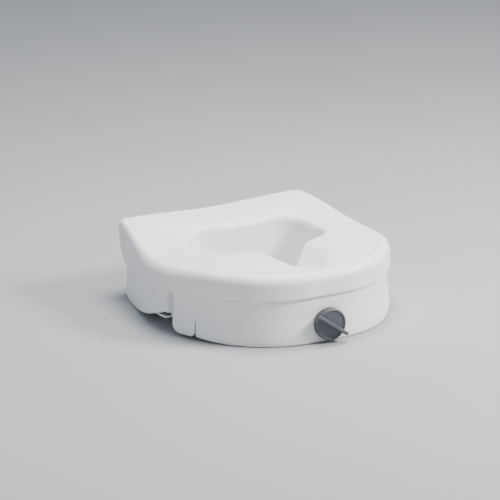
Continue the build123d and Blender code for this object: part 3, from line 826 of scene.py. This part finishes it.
class RAISEDSEAT_OT_deck(bpy.types.Operator):
    """Model the deck inside the base shell with its ribs, screw bosses and the clamp's slot"""

    bl_idname = "raised_seat.deck"
    bl_label = "Deck"

    def execute(self, context):
        deck = loop_stack("deck_plate", deck_rings(), "joined")
        wells = [
            loop_stack("well", circle_rings([(5.2 * MM, 0.0), (5.2 * MM, 40 * MM)], place, "Z", 32), "capped")
            for place in SHELL_SCREWS
        ]
        slot = soft_box(
            "slot", (-24 * MM, MID_Y - 144 * MM, 10 * MM), (24 * MM, MID_Y - 89 * MM, 30 * MM), 2 * MM
        )
        cut_away(deck, [*wells, slot])
        pieces = [deck]
        # radius and height
        boss = [
            (5.2, 20.2), (8.6, 20.2), (8.6, 23.0), (8.1, 24.5), (7.7, 59.4), (7.3, 60.0), (2.2, 60.0),
            (2.2, 52.0), (5.2, 52.0),
        ]
        profile = [(radius * MM, along * MM) for radius, along in boss]
        for place in SHELL_SCREWS:
            pieces.append(loop_stack("boss", circle_rings(profile, place, "Z", 40), "joined"))
        rib_low, rib_high = DECK_HIGH - 0.2 * MM, DECK_HIGH + 26 * MM
        for y, inner in ((90, 100), (45, 112), (-48, 96)):
            outer = half_width(MID_Y + y * MM, BASE_INSET + 3 * MM)
            for side in (-1, 1):
                ends = sorted((side * inner * MM, side * outer))
                low = (ends[0], MID_Y + (y - 1.5) * MM, rib_low)
                high = (ends[1], MID_Y + (y + 1.5) * MM, rib_high)
                pieces.append(soft_box("rib", low, high, 0.7 * MM))
        for x in (-40, 40):
            low = ((x - 1.5) * MM, MID_Y + 112 * MM, rib_low)
            high = ((x + 1.5) * MM, BASE_REAR - 6 * MM, rib_high)
            pieces.append(soft_box("rib", low, high, 0.7 * MM))
        ring = [(9.05, 5.0), (13.0, 5.0), (13.0, 12.0), (12.4, 13.1), (9.05, 13.1)]
        profile = [(radius * MM, FRONT_Y + along * MM) for radius, along in ring]
        pieces.append(loop_stack("bush_boss", circle_rings(profile, (0, 0, ROD_Z), "Y", 48), "joined"))
        piece = joined("base_deck", pieces)
        smooth_shading(piece, 38)
        finish_piece(piece, white_shell(), "root", ["base_shell"])
        return {"FINISHED"}


# ---- Locking knob ----
KNOB_TILT = math.radians(-35)
FLUTES = 48


def flutes(radius, along, angle):
    """Shallow grip flutes round the knob's side."""
    on_side = radius > 25.7 * MM and KNOB_BACK - 11.5 * MM < along < KNOB_BACK - 1.5 * MM
    return -0.35 * MM * (0.5 - 0.5 * np.cos(FLUTES * angle)) if on_side else 0.0


def rounded_bar_ring(half_length, half_thickness, corner, y, turn):
    """A ring of a bar's section in the plane at y, turned about the knob's axis."""
    cos_t, sin_t = math.cos(turn), math.sin(turn)
    ring = []
    for quarter in range(4):
        cx = (half_length - corner) * (1, -1, -1, 1)[quarter]
        cz = (half_thickness - corner) * (1, 1, -1, -1)[quarter]
        for step in range(9):
            angle = math.pi / 2 * (quarter + step / 8)
            u, v = cx + corner * math.cos(angle), cz + corner * math.sin(angle)
            ring.append((u * cos_t - v * sin_t, y, ROD_Z + u * sin_t + v * cos_t))
    return np.array(ring)


class RAISEDSEAT_OT_knob(bpy.types.Operator):
    """Model the locking knob: a dished, fluted disc with a grip bar"""

    bl_idname = "raised_seat.knob"
    bl_label = "Locking Knob"

    def execute(self, context):
        # radius, and distance in front of the knob's back
        side = [
            (10.0, 0.0), (10.0, 9.6), (10.8, 10.4), (22.6, 10.6), (23.3, 9.8), (23.4, 0.0), (25.5, 0.0),
            (25.95, 0.5), (26.0, 1.2), (26.0, 2.4), (26.0, 6.0), (26.0, 10.4), (26.0, 11.2), (25.7, 12.0),
            (25.1, 12.7), (24.4, 13.0), (23.4, 13.1), (22.6, 13.0), (22.1, 12.6), (21.8, 12.1), (21.2, 11.9),
        ]
        dish = [(21.2 * t, 11.9 - 0.9 * (1 - t * t)) for t in (0.9, 0.75, 0.6, 0.45, 0.3, 0.15, 0.03)]
        profile = [(radius * MM, KNOB_BACK - depth * MM) for radius, depth in side + dish]
        disc = loop_stack("disc", circle_rings(profile, (0, 0, ROD_Z), "Y", FLUTES * 6, flutes), "capped")
        # half length, half thickness, and distance in front of the knob's back
        grip = [
            (29.9, 3.3, 10.6), (30.0, 3.5, 11.0), (30.0, 3.45, 12.0), (29.9, 3.3, 14.0), (29.7, 3.1, 18.0),
            (29.5, 2.9, 21.5), (29.3, 2.7, 22.8), (28.9, 2.3, 23.6), (28.2, 1.6, 24.0),
        ]
        rings = [
            rounded_bar_ring(long * MM, thick * MM, min(thick, 2.4) * MM, KNOB_BACK - depth * MM, KNOB_TILT)
            for long, thick, depth in grip
        ]
        bar = loop_stack("grip", rings, "capped")
        apply_modifier(
            bar, "BEVEL", width=0.3 * MM, segments=2, limit_method="ANGLE", angle_limit=math.radians(40)
        )
        piece = joined("knob_head", [disc, bar])
        smooth_shading(piece, 32)
        finish_piece(piece, knob_plastic(), "knob", ["locking_knob"])
        return {"FINISHED"}


# ---- Threaded rod ----
LEAD = 6 * MM
ROOT_R, CREST_R = 5.1 * MM, 6.0 * MM
THREAD_START, THREAD_END = ROD_LOW.y + 30 * MM, ROD_HIGH.y - 15 * MM
CLIP_LOW, CLIP_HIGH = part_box("retaining_clip")


def thread():
    """One lead of a trapezoidal thread, screwed along the rod and trimmed square at both ends."""
    deselect()
    # radius, and share of the lead
    profile = (
        (ROOT_R, 0.0), (ROOT_R, 0.3), (CREST_R, 0.45), (CREST_R, 0.78), (ROOT_R, 0.92), (ROOT_R, 1.0)
    )
    bpy.ops.mesh.primitive_circle_add(vertices=len(profile), radius=0.1, fill_type="NOTHING")
    piece = named("thread")
    bpy.ops.object.mode_set(mode="EDIT")
    bm = edit_bmesh(piece)
    bm.verts.ensure_lookup_table()
    start = THREAD_START - 1.5 * LEAD
    for vert, (radius, share) in zip(bm.verts, profile):
        vert.co = (0, start + share * LEAD, radius)
    bm.verts.ensure_lookup_table()
    closing = bm.edges.get((bm.verts[0], bm.verts[-1]))
    for edge in bm.edges:
        edge.select_set(edge == closing)
    bmesh.update_edit_mesh(piece.data)
    bpy.ops.mesh.select_mode(type="EDGE")
    bpy.ops.mesh.delete(type="EDGE")
    bpy.ops.mesh.select_mode(type="VERT")
    bpy.ops.object.mode_set(mode="OBJECT")
    turns = int((THREAD_END - THREAD_START) / LEAD) + 4
    apply_modifier(
        piece, "SCREW", axis="Y", angle=2 * math.pi, screw_offset=LEAD, iterations=turns, steps=40,
        render_steps=40, use_merge_vertices=True, merge_threshold=0.002 * MM,
    )
    bpy.ops.object.mode_set(mode="EDIT")
    bpy.ops.mesh.select_all(action="SELECT")
    bpy.ops.mesh.remove_doubles(threshold=0.002 * MM)
    for place, direction in ((THREAD_START, -1), (THREAD_END, 1)):
        bpy.ops.mesh.select_all(action="SELECT")
        bpy.ops.mesh.bisect(
            plane_co=(0, place, 0), plane_no=(0, direction, 0), use_fill=True, clear_outer=True
        )
    bpy.ops.mesh.select_all(action="SELECT")
    bpy.ops.transform.translate(value=(0, 0, ROD_Z))
    bpy.ops.mesh.normals_make_consistent(inside=False)
    bpy.ops.object.mode_set(mode="OBJECT")
    return piece


class RAISEDSEAT_OT_rod(bpy.types.Operator):
    """Model the rod: square drive, clip groove, coarse thread and end journal"""

    bl_idname = "raised_seat.rod"
    bl_label = "Threaded Rod"

    def execute(self, context):
        clip = (CLIP_LOW.y + CLIP_HIGH.y) / 2
        front = [
            (5.4 * MM, KNOB_BACK), (6.0 * MM, KNOB_BACK + 0.6 * MM), (6.0 * MM, clip - 0.62 * MM),
            (4.6 * MM, clip - 0.6 * MM), (4.6 * MM, clip + 0.6 * MM), (6.0 * MM, clip + 0.62 * MM),
            (6.0 * MM, THREAD_START - 0.5 * MM), (5.2 * MM, THREAD_START + 0.4 * MM),
        ]
        journal = [
            (5.1 * MM, THREAD_END - 0.4 * MM), (4.3 * MM, THREAD_END + 0.3 * MM),
            (4.0 * MM, THREAD_END + 0.6 * MM), (4.0 * MM, ROD_HIGH.y - 0.7 * MM), (3.3 * MM, ROD_HIGH.y),
        ]
        pieces = [thread()]
        for profile in (front, journal):
            pieces.append(loop_stack("shank", circle_rings(profile, (0, 0, ROD_Z), "Y", 48), "capped"))
        half = 4 * MM
        drive = soft_box(
            "drive", (-half, ROD_LOW.y, -half), (half, KNOB_BACK + 0.1 * MM, half), 0.5 * MM
        )
        bpy.ops.object.mode_set(mode="EDIT")
        bpy.ops.mesh.select_all(action="SELECT")
        bpy.ops.transform.rotate(value=KNOB_TILT, orient_axis="Y", center_override=(0, 0, 0))
        bpy.ops.transform.translate(value=(0, 0, ROD_Z))
        bpy.ops.object.mode_set(mode="OBJECT")
        piece = joined("lead_screw", [*pieces, drive])
        smooth_shading(piece, 30)
        finish_piece(piece, grey_nylon(), "knob", ["threaded_rod"])
        return {"FINISHED"}


# ---- Rubber pads ----
def ribbed_section(width, thickness, ribs, corner):
    """Section of a pad, across and up: flat below, with round ribs on its upper face."""
    half = width / 2
    section = [(-half, 0.0), (half, 0.0), (half, thickness * 0.55)]
    steps = ribs * 8
    for step in range(steps + 1):
        across = half - corner - (width - 2 * corner) * step / steps
        wave = abs(math.sin(math.pi * ribs * step / steps))
        section.append((across, thickness * (0.62 + 0.38 * wave ** 0.7)))
    section.append((-half, thickness * 0.55))
    return section


def pad_along(name, section, stations):
    """A pad whose section is carried along stations (origin, across, up, scale across)."""
    rings = []
    for station in stations:
        origin, across, up = (np.array(part) for part in station[:3])
        rings.append(np.array([origin + across * a * station[3] + up * b for a, b in section]))
    piece = loop_stack(name, rings, "capped")
    apply_modifier(
        piece, "BEVEL", width=0.35 * MM, segments=2, limit_method="ANGLE", angle_limit=math.radians(55)
    )
    smooth_shading(piece, 50)
    return piece


def straight_stations(start, end, across, up, corner, width):
    """Stations from start to end whose first and last ones draw in round the corners."""
    start, end = np.array(start, float), np.array(end, float)
    length = np.linalg.norm(end - start)
    stations = []
    for step in range(25):
        along = length * (1 - math.cos(math.pi * step / 24)) / 2
        near = min(along, length - along)
        drop = corner - math.sqrt(max(corner**2 - (corner - min(near, corner)) ** 2, 0.0))
        stations.append((start + (end - start) * along / length, across, up, 1 - 2 * drop / width))
    return stations


class RAISEDSEAT_OT_pads(bpy.types.Operator):
    """Model the ribbed rubber pads that meet the bowl"""

    bl_idname = "raised_seat.pads"
    bl_label = "Rubber Pads"

    def execute(self, context):
        rubber = grey_rubber()
        rests = []
        for side in (-1, 1):
            for x, y, turn in ((150, 60, 5), (128, -92, -40)):
                angle = math.radians(side * turn)
                along = np.array((-math.sin(angle), math.cos(angle), 0.0))
                across = (math.cos(angle), math.sin(angle), 0.0)
                middle = np.array((side * x * MM, MID_Y + y * MM, DECK_LOW))
                half = along * 26 * MM
                stations = straight_stations(
                    middle - half, middle + half, across, (0, 0, -1), 5 * MM, 15 * MM
                )
                rests.append(pad_along("rest", ribbed_section(15 * MM, 2 * MM, 5, 1.2 * MM), stations))
        finish_piece(joined("rest_pads_ribbed", rests), rubber, "root", ["rest_pads"])

        points = rounded_polygon(seat_corners(), seat_radii(20 * MM), 8.0 * MM, 2 * MM)
        strip = sorted((x, y) for x, y in points if abs(x) < 64 * MM and y < MID_Y)
        stations = []
        for i, (x, y) in enumerate(strip):
            x1, y1 = strip[max(i - 1, 0)]
            x2, y2 = strip[min(i + 1, len(strip) - 1)]
            length = math.hypot(x2 - x1, y2 - y1)
            inwards = (-(y2 - y1) / length, (x2 - x1) / length, 0)
            stations.append(((x, y, 9 * MM), (0, 0, 1), inwards, 1.0))
        lip = pad_along("lip_pad_ribbed", ribbed_section(14 * MM, 2.5 * MM, 5, 1 * MM), stations)
        finish_piece(lip, rubber, "root", ["lip_pad"])

        low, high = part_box("clamp_pad")
        middle_z, tall = (low.z + high.z) / 2, high.z - low.z
        stations = straight_stations(
            (low.x, high.y, middle_z), (high.x, high.y, middle_z), (0, 0, 1), (0, -1, 0), 2 * MM, tall
        )
        section = ribbed_section(tall, high.y - low.y, 6, 1 * MM)
        jaw = pad_along("clamp_pad_ribbed", section, stations)
        finish_piece(jaw, rubber, "clamp", ["clamp_pad"])

        for name in ("hook_pad_left", "hook_pad_right"):
            low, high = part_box(name)
            middle_z, tall = (low.z + high.z) / 2, high.z - low.z
            stations = straight_stations(
                (low.x, low.y, middle_z), (high.x, low.y, middle_z), (0, 0, 1), (0, 1, 0), 2 * MM, tall
            )
            section = ribbed_section(tall, high.y - low.y, 4, 1 * MM)
            pad = pad_along(name + "_ribbed", section, stations)
            finish_piece(pad, rubber, "root", [name])
        return {"FINISHED"}


# ---- Screws ----
class RAISEDSEAT_OT_screws(bpy.types.Operator):
    """Model the long screws up through the deck, with cross-recessed heads"""

    bl_idname = "raised_seat.screws"
    bl_label = "Shell Screws"

    def execute(self, context):
        # radius and height, from the point down to the head
        shape = [
            (2.0, 71.6), (2.1, 71.2), (2.1, 52.3), (2.5, 52.0), (4.0, 52.0), (4.2, 51.7), (4.15, 50.9),
            (3.7, 50.2), (2.9, 49.8), (1.5, 49.7),
        ]
        profile = [(radius * MM, height * MM) for radius, height in shape]
        screws = []
        first = loop_stack("screw", circle_rings(profile, (0, 0, 0), "Z", 32), "capped")
        blades = []
        for x, y in ((2.2 * MM, 0.45 * MM), (0.45 * MM, 2.2 * MM)):
            blades.append(soft_box("blade", (-x, -y, 48 * MM), (x, y, 51 * MM), 0.1 * MM))
        cut_away(first, blades)
        for x, y in SHELL_SCREWS:
            deselect()
            first.select_set(True)
            bpy.context.view_layer.objects.active = first
            bpy.ops.object.duplicate()
            screw = named("screw_copy")
            bpy.ops.object.mode_set(mode="EDIT")
            bpy.ops.mesh.select_all(action="SELECT")
            bpy.ops.transform.translate(value=(x, y, 0))
            bpy.ops.object.mode_set(mode="OBJECT")
            screws.append(screw)
        deselect()
        first.select_set(True)
        bpy.ops.object.delete()
        piece = joined("shell_screws_finished", screws)
        smooth_shading(piece, 35)
        finish_piece(piece, zinc_steel(), "root", ["shell_screws"])
        return {"FINISHED"}


# ---- Hooks, guides and clamp parts whose shape is right but for its sharp edges ----
class RAISEDSEAT_OT_metalwork(bpy.types.Operator):
    """Round the edges of the hooks, guides, bearings and clamp parts"""

    bl_idname = "raised_seat.metalwork"
    bl_label = "Hooks, Guides and Clamp"

    def execute(self, context):
        parts = {
            "rear_hook_left": (0.5, white_nylon, "root", "nylon_white"),
            "rear_hook_right": (0.5, white_nylon, "root", "nylon_white"),
            "guide_rail_left": (0.3, white_nylon, "root", "nylon_white"),
            "guide_rail_right": (0.3, white_nylon, "root", "nylon_white"),
            "rod_end_bearing": (0.4, white_nylon, "root", "nylon_white"),
            "front_bush": (0.3, white_nylon, "root", "nylon_white"),
            "clamp_slider": (0.6, grey_nylon, "clamp", "rod_nylon"),
            "nut_cover": (0.3, grey_nylon, "clamp", "rod_nylon"),
            "clamp_nut": (0.4, turned_brass, "clamp", "brass"),
            "thrust_washer": (0.15, zinc_steel, "knob", "steel"),
        }
        for node, (width, material, body, slot) in parts.items():
            finish_piece(bevelled_copy(node, width * MM), material(), body, [node])
        return {"FINISHED"}


class RAISEDSEAT_OT_small_parts(bpy.types.Operator):
    """Give the small fixings their metal finish"""

    bl_idname = "raised_seat.small_parts"
    bl_label = "Small Fixings"

    def execute(self, context):
        steel = (
            "rail_screws", "bearing_screws", "hook_screws", "cover_screws", "knob_pin", "retaining_clip",
            "pad_rivets",
        )
        for node in steel:
            for material_slot in bpy.data.objects[node].material_slots:
                material_slot.material = zinc_steel()
        return {"FINISHED"}


# ---- Stage ----
CAMERA_AZIMUTH = math.radians(-28.8)
CAMERA_HEIGHT = math.radians(17.1)
CAMERA_ROLL = math.radians(-0.8)
CAMERA_DISTANCE = 5.0
CAMERA_LENS = 221.8
AIM_HEIGHT = 107 * MM
AIM_RIGHT = -27.6 * MM
AIM_UP = -7.3 * MM


def area_light(name, location, target, size, power, colour):
    data = bpy.data.lights.new(name, "AREA")
    data.shape, data.size, data.energy, data.color = "DISK", size, power, colour
    light = bpy.data.objects.new(name, data)
    bpy.context.scene.collection.objects.link(light)
    light.location = location
    light.rotation_euler = (Vector(target) - Vector(location)).to_track_quat("-Z", "Y").to_euler()
    return light


def floor_material():
    material, tree = new_material("plain_floor")
    if tree is None:
        return material
    shader = tree.nodes["Principled BSDF"]
    place = tree.nodes.new("ShaderNodeTexCoord").outputs["Object"]
    clouds = noise(tree, place, 3.0, 3.0, 0.5)
    colour = tuple(settings().floor_colour)
    tint = ramp(tree, clouds.outputs["Fac"], [(0.3, shaded(colour, 0.985)), (0.7, shaded(colour, 1.015))])
    tree.links.new(tint.outputs["Color"], shader.inputs["Base Color"])
    shader.inputs["Roughness"].default_value = 0.9
    return material


class RAISEDSEAT_OT_stage(bpy.types.Operator):
    """Add the plain floor, the soft lights and the camera"""

    bl_idname = "raised_seat.stage"
    bl_label = "Stage"

    def execute(self, context):
        scene = context.scene
        deselect()
        bpy.ops.mesh.primitive_plane_add(size=14.0, location=(0, 0, -0.2 * MM))
        floor = named("floor")
        floor.data.materials.append(floor_material())

        world = bpy.data.worlds.new("studio")
        world.use_nodes = True
        background = world.node_tree.nodes["Background"]
        background.inputs["Color"].default_value = (0.80, 0.87, 1.0, 1.0)
        background.inputs["Strength"].default_value = 0.55
        scene.world = world
        area_light("key_light", (1.5, -1.3, 1.5), (0, 0, 0.06), 0.8, 112.0, (1.0, 0.955, 0.90))
        area_light("top_light", (0.2, 0.1, 2.0), (0, 0, 0.1), 1.1, 68.0, (1.0, 0.99, 0.98))
        area_light("left_fill", (-1.8, -0.9, 0.7), (0, 0, 0.05), 1.2, 4.0, (0.80, 0.89, 1.0))

        camera_data = bpy.data.cameras.new("camera")
        camera_data.lens, camera_data.sensor_width = CAMERA_LENS, 36.0
        camera_data.clip_end = 60.0
        camera = bpy.data.objects.new("camera", camera_data)
        scene.collection.objects.link(camera)
        a, e = CAMERA_AZIMUTH, CAMERA_HEIGHT
        back = Vector((math.sin(a) * math.cos(e), -math.cos(a) * math.cos(e), math.sin(e)))
        right = Vector((math.cos(a), math.sin(a), 0))
        up = back.cross(right)
        aim = Vector((0, MID_Y, AIM_HEIGHT)) + right * AIM_RIGHT + up * AIM_UP
        camera.location = aim + back * CAMERA_DISTANCE
        camera.rotation_mode = "QUATERNION"
        look = Matrix((right, up, back)).transposed().to_quaternion()
        camera.rotation_quaternion = look @ Quaternion((0, 0, 1), CAMERA_ROLL)
        scene.camera = camera
        return {"FINISHED"}


class RAISEDSEAT_PT_panel(bpy.types.Panel):
    """Buttons for the pieces of the raised seat"""

    bl_idname = "RAISEDSEAT_PT_panel"
    bl_label = "Raised Seat"
    bl_space_type = "VIEW_3D"
    bl_region_type = "UI"
    bl_category = "Raised Seat"

    def draw(self, context):
        for name in RaisedSeatSettings.__annotations__:
            self.layout.prop(context.scene.raised_seat, name)
        for operator in OPERATORS:
            self.layout.operator(operator.bl_idname)


OPERATORS = (
    RAISEDSEAT_OT_seat_shell,
    RAISEDSEAT_OT_base_shell,
    RAISEDSEAT_OT_deck,
    RAISEDSEAT_OT_knob,
    RAISEDSEAT_OT_rod,
    RAISEDSEAT_OT_pads,
    RAISEDSEAT_OT_screws,
    RAISEDSEAT_OT_metalwork,
    RAISEDSEAT_OT_small_parts,
    RAISEDSEAT_OT_stage,
)
CLASSES = (RaisedSeatSettings, *OPERATORS, RAISEDSEAT_PT_panel)


def register():
    for cls in CLASSES:
        bpy.utils.register_class(cls)
    bpy.types.Scene.raised_seat = bpy.props.PointerProperty(type=RaisedSeatSettings)


def unregister():
    del bpy.types.Scene.raised_seat
    for cls in reversed(CLASSES):
        bpy.utils.unregister_class(cls)


def main():
    register()
    bpy.ops.raised_seat.seat_shell()
    bpy.ops.raised_seat.base_shell()
    bpy.ops.raised_seat.deck()
    bpy.ops.raised_seat.knob()
    bpy.ops.raised_seat.rod()
    bpy.ops.raised_seat.pads()
    bpy.ops.raised_seat.screws()
    bpy.ops.raised_seat.metalwork()
    bpy.ops.raised_seat.small_parts()
    bpy.ops.raised_seat.stage()


if __name__ == "__main__":
    main()
